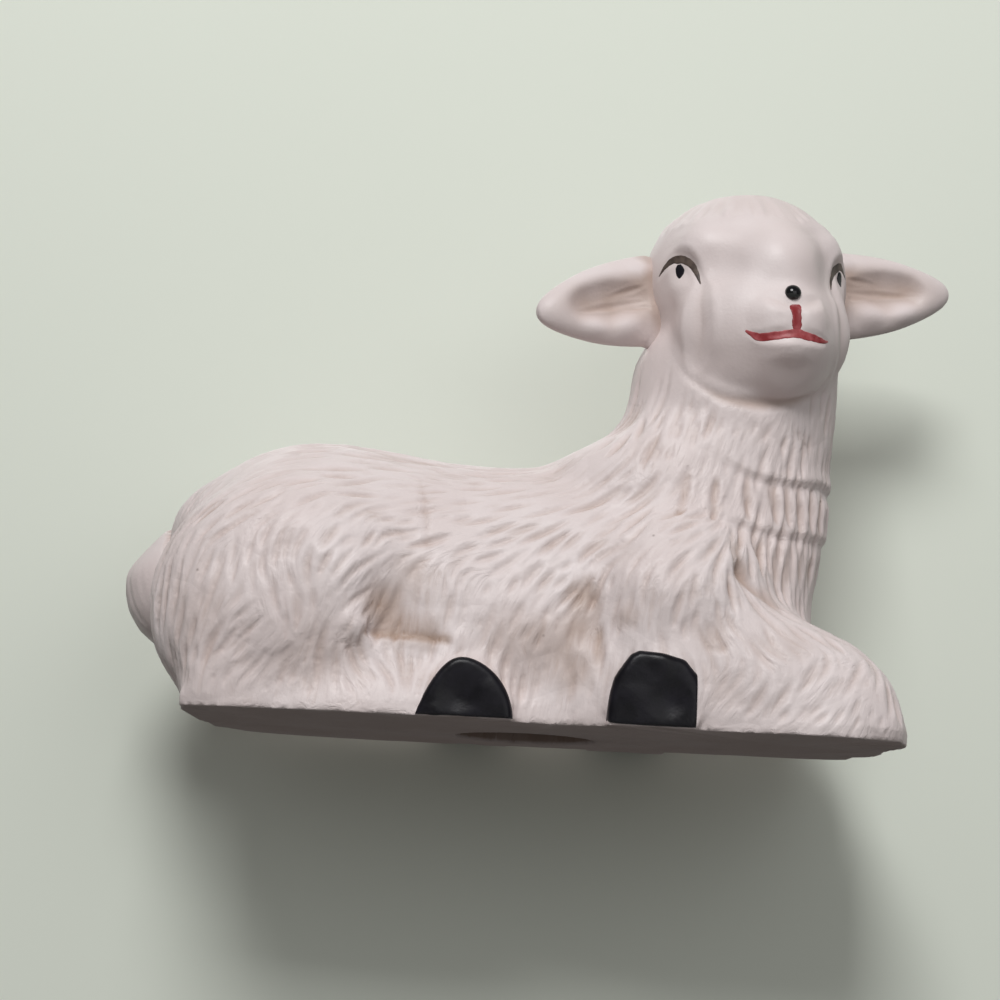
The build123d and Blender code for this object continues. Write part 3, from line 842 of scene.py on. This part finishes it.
def parted(mesh, keep_above):
    """The part of the casting on one side of the seam, closed with a flat ring where it was cut."""
    shape = bmesh.new()
    shape.from_mesh(mesh)
    halves = shape.verts[:] + shape.edges[:] + shape.faces[:]
    cut = bmesh.ops.bisect_plane(
        shape, geom=halves, dist=1e-4, plane_co=seam_point, plane_no=seam_normal,
        clear_inner=keep_above, clear_outer=not keep_above,
    )["geom_cut"]
    rim = [edge for edge in cut if isinstance(edge, bmesh.types.BMEdge)]
    ring = bmesh.ops.triangle_fill(shape, use_beauty=True, edges=rim, normal=seam_normal)["geom"]
    for edge in rim:
        edge.smooth = False
    ring_faces = [face for face in ring if isinstance(face, bmesh.types.BMFace)]
    for face in ring_faces:
        if (face.normal.dot(seam_normal) > 0) == keep_above:
            face.normal_flip()
    bmesh.ops.triangulate(shape, faces=[face for face in shape.faces if len(face.verts) > 4])
    return mesh_from(shape, "half")


shown(parted(thinned, True), "luted_head", "head_shell", biscuit)
shown(parted(thinned, False), "slip_cast_body", "body_shell", biscuit)

# The ears, two leaves pressed by hand, hollowed in front with a thumb and stuck on with slip. Their
# roots are sunk a little into the head.
ear_grain = 0.16
root_depth = 0.8
root_reach = 0.5
root_fade = 0.3
in_front_of_ear = 6.0
bowl_half_height = 3.2


def rooted(clay, depth):
    """Sink whatever of a stuck-on piece lies on the casting a little way into it."""
    for number, point in enumerate(clay.points):
        place, way_out, _, distance = casting.surface.find_nearest(Vector(point))
        held = max(0.0, min(1.0, (root_reach - distance) / root_fade))
        clay.points[number] += held * (np.array(place - way_out * depth) - point)
    clay.settle()


def on_ear(share, lift):
    """The front of the leaf in hand at a share of its length and a height over its middle line."""
    start = root + along * share + upward * lift + front * in_front_of_ear
    return leaf.surface.ray_cast(start, -front)[0]


# Share of the length, height over the middle, radius and rise of each pat, then the creases.
ear_pats = (
    (0.12, 1.0, 2.8, -0.3), (0.35, 0.7, 2.8, -0.15), (0.65, 0.3, 2.4, -0.2),
    (0.30, -2.2, 2.0, 0.25), (0.60, -1.9, 1.8, 0.2), (0.10, 3.2, 1.6, 0.2),
)
ear_creases = (
    (0.4, 0.16, ((0.10, 0.0), (0.25, 0.0), (0.45, -0.1), (0.72, -0.3))),
    (0.35, 0.12, ((0.05, 1.6), (0.2, 1.2), (0.42, 0.9))),
    (0.35, 0.12, ((0.04, -1.0), (0.16, -0.6), (0.3, -0.5))),
)
ear_places = (
    ("right", -1, (-9.6, 1.0, -1.9), (-21.6, -0.8, -4.2)),
    ("left", 1, (9.6, 1.0, 0.3), (21.6, -1.0, 0.9)),
)
for name, side, *ends in ear_places:
    leaf = Clay(skin_of([merged_mesh("ear_" + name)], ear_grain))
    leaf.smooth(14)
    root, tip = (head_place @ Vector(end) for end in ends)
    along = tip - root
    front = Vector((0, -1, 0))
    front = (front - along * front.dot(along) / along.length_squared).normalized()
    upward = along.cross(front).normalized() * -side
    leaf.smooth(40, 0.5 * np.clip(leaf.normals @ np.array(front) * 1.6 - 0.5, 0, 1))

    for share, lift, radius, rise in ear_pats:
        leaf.dab(on_ear(share, lift), radius, rise)
    for half_width, depth, places in ear_creases:
        spots = [spot for spot in (on_ear(*place) for place in places) if spot is not None]
        leaf.groove(wound(spots, 0.12), half_width, depth, lip=0.3)
    marks = leaf.lay(1)
    leaf.settle()
    rooted(leaf, root_depth)
    keep_inside(leaf)
    from_root = ((leaf.points - np.array(root)) @ np.array(along)) / along.length_squared
    faces_front = leaf.normals @ np.array(front)
    off_middle = np.abs((leaf.points - np.array(root + along * 0.4)) @ np.array(upward))
    bowl = np.clip(faces_front, 0, 1) * np.clip(1.1 - off_middle / bowl_half_height, 0, 1)
    bowl *= np.clip(1.1 - from_root, 0, 1)
    at_root = np.clip(1 - from_root / 0.12, 0, 1)
    # The ear's bowl, its root against the head and its creases are darkened: brown wash and painted shade in
    # the hollow and at the joint.
    with_marks(
        leaf.mesh,
        stain=np.clip(bowl * 1.35 + at_root * 0.8 - marks * 1.4, 0, 1),
        rubbed=np.clip(0.9 - bowl, 0, 1),
    )
    shown(leaf.mesh, "pressed_ear_" + name, "ear_" + name, biscuit)

# The tail, a smooth lump of clay stuck to the rump, with a few lines drawn down it.
tail_grain = 0.22
tail_stretch_z = 13.0
tail_stretch = 0.1
stub = Clay(skin_of([merged_mesh("tail")], tail_grain))
stub.smooth(10)
tail_root_x = -34.6
tail_middle = Vector((-35.0, 0, 12.5))
tail_half_length = 5.2
tail_half_height = 6.1
tail_profile = (
    (-36.4, 6.4), (-37.2, 6.9), (-38.7, 8.1), (-39.9, 10.0), (-40.4, 12.0),
    (-40.5, 13.3), (-39.9, 14.4), (-37.6, 17.2), (-35.6, 19.2),
)
lift = np.clip((stub.points[:, 2] - tail_middle.z) / tail_half_height, -0.98, 0.98)
round_x = tail_middle.x - tail_half_length * np.sqrt(1 - lift**2)
share = (stub.points[:, 0] - tail_root_x) / np.minimum(round_x - tail_root_x, -0.8)
stub.points[:, 2] += tail_stretch * np.maximum(stub.points[:, 2] - tail_stretch_z, 0)
profile_x, profile_z = np.array(tail_profile).T
drawn_x = np.interp(stub.points[:, 2], profile_z, profile_x)
behind_root = stub.points[:, 0] < tail_root_x
stub.points[:, 0] = np.where(behind_root, tail_root_x + share * (drawn_x - tail_root_x), stub.points[:, 0])
stub.smooth(24)
for y in (-3.4, -2.2, -0.9, 0.4, 1.7, 3.0):
    spots = [
        stub.surface.ray_cast(Vector((behind_rump_x, y + bend, z)), Vector((1, 0, 0)))[0]
        for z, bend in ((17.6, 0.0), (14.0, 0.25), (10.0, -0.1), (7.6, 0.1))
    ]
    stub.groove(wound([spot for spot in spots if spot is not None]), 0.5, 0.1)
marks = stub.lay(1)
stub.settle()
rooted(stub, root_depth)
keep_inside(stub)
# The tail is darkened next to the rump and in its lines: brown wash and painted shade where it meets the
# body.
next_to_rump = np.array([casting.surface.find_nearest(Vector(point))[3] for point in stub.points])
with_marks(
    stub.mesh,
    stain=np.clip(0.75 - next_to_rump / 0.9 - marks * 2, 0, 1),
    rubbed=np.full(len(stub.points), 0.6),
)
shown(stub.mesh, "luted_tail", "tail", biscuit)

# The hooves, a satin black enamel brushed on over low plates in the casting and fired again.
hoof_grain = 0.16
hoof_proud = 0.14
hoof_inner_y = 14.6
raised_within = 0.8
hoof_outer_y = 16.4
plate_thickness = 0.7
above_floor = 0.12
column_width = 0.4
front_hoof_end = 13.45


def enamel(name, colour, other_colour, roughness, shine_level=0.35, patches=420.0):
    """A brushed and fired enamel: two close colours where the brush left it thin and thick."""
    material = bpy.data.materials.new(name)
    tree = cleared(material)
    grain, mottle = fired_nodes(tree, 2200.0, patches)
    colours = mixed(tree, ranged(tree, mottle, 0.4, 0.62), (*colour, 1), (*other_colour, 1))
    bump = add_node(tree, "Bump", {"Height": grain, "Strength": 0.4, "Distance": 0.00006})
    shine = ranged(tree, mottle, 0.3, 0.7, roughness * 0.85, min(roughness * 1.2, 1))
    put_out(tree, colours, shine, bump, shine_level)
    return material


blacks = (0.0035, 0.003, 0.005), (0.007, 0.006, 0.010)
satin_black = enamel("satin_black_enamel", *blacks, 0.34, shine_level=0.2)
hind_facet = ((-7.4, 2.0, 2.2, -0.3), (-9.4, 0.5, 0.9, 0.1), (-4.6, 2.4, 1.4, 0.12))
front_facet = ((11.0, 2.4, 2.2, -0.3), (8.0, 2.6, 1.6, 0.12), (10.4, 5.6, 1.4, 0.1))
front_outline = (
    (4.8, 1.2), (5.3, 2.8), (6.2, 5.0), (7.6, 6.5), (8.3, 6.8), (10, 6.6),
    (12.4, 6.2), (13.0, 5.6), (13.8, 5.0),
)
for node, side, facet_places in (
    ("hoof_hind_right", -1, hind_facet),
    ("hoof_hind_left", 1, hind_facet),
    ("hoof_front_right", -1, front_facet),
    ("hoof_front_left", 1, front_facet),
):
    plate = Clay(skin_of([merged_mesh(node)], hoof_grain))
    plate.smooth(3)
    outside = np.clip((side * plate.points[:, 1] - hoof_inner_y) / raised_within, 0, 1)
    plate.points[:, 1] += side * outside * hoof_proud
    plate.points[:, 1] = side * np.maximum(side * plate.points[:, 1], hoof_outer_y - plate_thickness)
    plate.points[:, 2] = np.maximum(plate.points[:, 2], above_floor)
    plate.settle()
    if "front" in node:
        outline_x, outline_z = np.array(front_outline).T
        column = np.round(plate.points[:, 0] / column_width).astype(int)
        tops = np.zeros(column.max() + 1)
        np.maximum.at(tops, column, plate.points[:, 2])
        stood = np.interp(plate.points[:, 0], np.arange(len(tops)) * column_width, tops)
        plate.points[:, 2] *= np.interp(plate.points[:, 0], outline_x, outline_z) / np.maximum(stood, 1)
        plate.points[:, 0] = np.minimum(plate.points[:, 0], front_hoof_end)
        plate.smooth(4)
    for x, z, radius, height in facet_places:
        plate.dab(Vector((x, side * (hoof_outer_y + hoof_proud), z)), radius, height)
    plate.lay(1)
    keep_inside(plate)
    shown(plate.mesh, "enamelled_" + node, node, satin_black)

# The nose, a drop of glossy black enamel that stands on the muzzle.
nose_bearing = -3.6
nose_half_sizes = (0.76, 0.74, 0.55)
nose_round = 0.7
stroke_round = 0.6


def skin_way_out(place, radius):
    """The way out of the face round a place, not yet of length 1."""
    near = casting.index.find_range(place, radius)
    return sum((Vector(casting.normals[number]) for _, number, _ in near), Vector())


middle = sum((Vector(corner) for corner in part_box("nose_bead")), Vector()) / 2 / mm
place = on_face(nose_bearing, (head_place.inverted() @ middle).z)
way_out = skin_way_out(place, nose_round).normalized()
upright = head_place.to_3x3() @ Vector((0, 0, 1))
upright = (upright - way_out * upright.dot(way_out)).normalized()
across = upright.cross(way_out)
stand = Matrix.Translation(place) @ Matrix((across, upright, way_out)).transposed().to_4x4()
shape = bmesh.new()
bmesh.ops.create_icosphere(shape, subdivisions=4, radius=1)
bmesh.ops.transform(shape, verts=shape.verts, matrix=stand @ Matrix.Diagonal((*nose_half_sizes, 1)))
glossy_black = enamel("glossy_black_enamel", (0.003, 0.003, 0.004), (0.004, 0.004, 0.005), 0.1)
shown(mesh_from(shape, "nose_drop"), "nose_drop", "nose_bead", glossy_black)

# What is drawn on the face with a fine brush: black pupils, brown upper lids, the red mouth and the red
# under the nose.
drawn_thickness = 0.09


def brushed_line(name, node, places, half_widths, material, slot):
    """A stroke of enamel: a ball drawn out along the face through a few places, to a few half widths."""
    ragged_share, ragged_scale = 0.16, 2.4
    path = wound([on_face(*place) for place in places], 0.1)
    path = [path[0] - (path[1] - path[0]) * 0.01] + path
    shape = bmesh.new()
    bmesh.ops.create_uvsphere(shape, u_segments=16, v_segments=72, radius=1)
    for vertex in shape.verts:
        share = math.acos(max(-1.0, min(1.0, vertex.co.z))) / math.pi
        step = share * (len(path) - 1)
        first = min(int(step), len(path) - 2)
        centre = path[first].lerp(path[first + 1], step - first)
        ahead = (path[min(first + 4, len(path) - 1)] - path[max(first - 3, 0)]).normalized()
        way_out = skin_way_out(centre, stroke_round)
        way_out = (way_out - ahead * way_out.dot(ahead)).normalized()
        across = ahead.cross(way_out)
        ended = math.sin(math.pi * share) ** 0.3
        half_width = float(np.interp(share, np.linspace(0, 1, len(half_widths)), half_widths)) * ended
        around = math.atan2(vertex.co.y, vertex.co.x)
        other_edge = Vector((0, 0, 3 * math.cos(around)))
        ragged = 1 + ragged_share * noise.noise(centre * ragged_scale + other_edge)
        beside = centre + across * math.cos(around) * half_width * ragged
        beside = casting.surface.find_nearest(beside)[0]
        vertex.co = beside + way_out * math.sin(around) * drawn_thickness * ended
    bmesh.ops.remove_doubles(shape, verts=shape.verts, dist=1e-5)
    bmesh.ops.recalc_face_normals(shape, faces=shape.faces)
    shown(mesh_from(shape, name), name, node, material)


taupe = enamel("taupe_enamel", (0.05, 0.034, 0.028), (0.11, 0.08, 0.065), 0.5, patches=900.0)
red = enamel("red_enamel", (0.25, 0.022, 0.026), (0.52, 0.13, 0.14), 0.4, patches=620.0)
black_brush = satin_black, "black_enamel"
brown_brush = taupe, "brown_enamel"
red_brush = red, "red_enamel"
pupil_widths = (0.24, 0.44, 0.46, 0.44, 0.24)
lid_widths = (0.08, 0.26, 0.42, 0.42, 0.36, 0.28, 0.14)
mouth_widths = (0.2, 0.46, 0.48, 0.44, 0.48, 0.46, 0.38, 0.14)
right_lid = (
    (-80.8, 0.05), (-75.5, 0.8), (-69.5, 1.2), (-63.1, 1.05), (-58.0, 0.5), (-54.3, -0.5), (-50.8, -1.85),
)
left_lid = ((64.0, 0.1), (58.0, 0.9), (52.0, 1.2), (44.9, 0.5), (38.1, -0.6), (35.0, -1.9))
right_pupil = ((-65.3, 0.62), (-65.2, -0.1), (-65.0, -0.78))
left_pupil = ((51.6, 0.6), (51.4, -0.15), (51.2, -0.9))
philtrum_places = ((-3.1, -5.1), (-3.1, -6.3), (-3.3, -7.7))
philtrum_widths = (0.8, 0.66, 0.5, 0.5, 0.56, 0.54)
brushed_line("pupil_dab_right", "pupil_right", right_pupil, pupil_widths, *black_brush)
brushed_line("pupil_dab_left", "pupil_left", left_pupil, pupil_widths, *black_brush)
brushed_line("lid_line_right", "lash_right", right_lid, lid_widths, *brown_brush)
brushed_line("lid_line_left", "lash_left", left_lid, lid_widths, *brown_brush)
brushed_line("mouth_stroke", "mouth_line", mouth_places, mouth_widths, *red_brush)
brushed_line("philtrum_stroke", "philtrum_line", philtrum_places, philtrum_widths, *red_brush)

# The photograph's view: from the right flank and a little below, the camera turned slightly on its axis.
rise = math.radians(11.6)
roll = math.radians(2.92)
ahead = Vector((0, math.cos(rise), math.sin(rise)))
across = Vector((1, 0, 0))
upward = Vector((0, -math.sin(rise), math.cos(rise)))
rolled_across = across * math.cos(roll) + upward * math.sin(roll)
rolled_upward = upward * math.cos(roll) - across * math.sin(roll)
view_centre = Vector((-4.6, -2.5, 22.26)) * mm
view_distance = 0.18
camera_data = bpy.data.cameras.new("camera")
camera_data.lens = 67.14
camera_data.sensor_width = 36
camera_data.clip_start = 0.001
camera_data.clip_end = 10
camera = linked("camera", camera_data)
turned = Matrix((rolled_across, rolled_upward, -ahead)).transposed().to_4x4()
camera.matrix_world = Matrix.Translation(view_centre - ahead * view_distance) @ turned
bpy.context.scene.camera = camera
bpy.context.scene.view_settings.view_transform = "Standard"

# A plain pale floor and a plain pale wall close behind the left flank. Each shows only from its front,
# and only to the camera and in reflections, so that neither hides or darkens the lamb.


def plain_board(name, size, place, colour):
    """A flat board of one pale colour that shows from its front only."""
    shape = bmesh.new()
    bmesh.ops.create_grid(shape, x_segments=2, y_segments=2, size=size)
    bmesh.ops.transform(shape, verts=shape.verts, matrix=place)
    board = linked(name, mesh_from(shape, name))
    material = bpy.data.materials.new(name)
    tree = cleared(material)
    light_path = add_node(tree, "LightPath")
    geometry = add_node(tree, "NewGeometry")
    rays = {0: light_path.outputs["Is Camera Ray"], 1: light_path.outputs["Is Glossy Ray"]}
    seen = add_node(tree, "Math", rays, operation="MAXIMUM").outputs[0]
    front = add_node(tree, "Math", {0: 1.0, 1: geometry.outputs["Backfacing"]}, operation="SUBTRACT")
    matt = add_node(tree, "BsdfDiffuse", {"Color": (*colour, 1)})
    clear = add_node(tree, "BsdfTransparent")
    share = times(tree, seen, front.outputs[0])
    mix = add_node(tree, "MixShader", {0: share, 1: clear.outputs[0], 2: matt.outputs[0]})
    add_node(tree, "OutputMaterial", {"Surface": mix.outputs[0]})
    board.data.materials.append(material)


board_size = 1.5
floor_z = -0.00004
wall_y = 0.0185
plain_board("floor", board_size, Matrix.Translation((0, 0, floor_z)), (0.80, 0.82, 0.77))
wall_place = Matrix.Translation((0, wall_y, 0)) @ Matrix.Rotation(math.radians(90), 4, "X")
plain_board("wall", board_size, wall_place, (0.80, 0.84, 0.75))

# A large soft lamp above and before the lamb and two weaker ones, and a pale sky.


def soft_lamp(name, place, size, power):
    """A square soft lamp at a place in metres, turned towards the lamb."""
    lamp_data = bpy.data.lights.new(name, "AREA")
    lamp_data.size = size
    lamp_data.energy = power
    lamp = linked(name, lamp_data)
    lamp.location = place
    lamp.rotation_euler = (Vector((0, 0, 0.02)) - lamp.location).to_track_quat("-Z", "Y").to_euler()


soft_lamp("key", (-0.05, -0.34, 0.31), 0.16, 1.32)
soft_lamp("fill", (0.20, -0.46, 0.14), 0.30, 0.35)
soft_lamp("rear", (-0.1, 0.36, 0.30), 0.24, 0.4)

sky = bpy.data.worlds.new("sky")
bpy.context.scene.world = sky
tree = cleared(sky)
direction = add_node(tree, "TexCoord").outputs["Generated"]
up_share = add_node(tree, "SeparateXYZ", {0: direction}).outputs["Z"]
gradient = mixed(tree, ranged(tree, up_share, -0.5, 0.3), (0.085, 0.08, 0.075, 1), (0.24, 0.24, 0.24, 1))
light_path = add_node(tree, "LightPath")
sky_colour = mixed(tree, light_path.outputs["Is Camera Ray"], gradient, (0.74, 0.76, 0.70, 1))
background = add_node(tree, "Background", {"Color": sky_colour, "Strength": 1.0})
add_node(tree, "OutputWorld", {"Surface": background.outputs[0]})
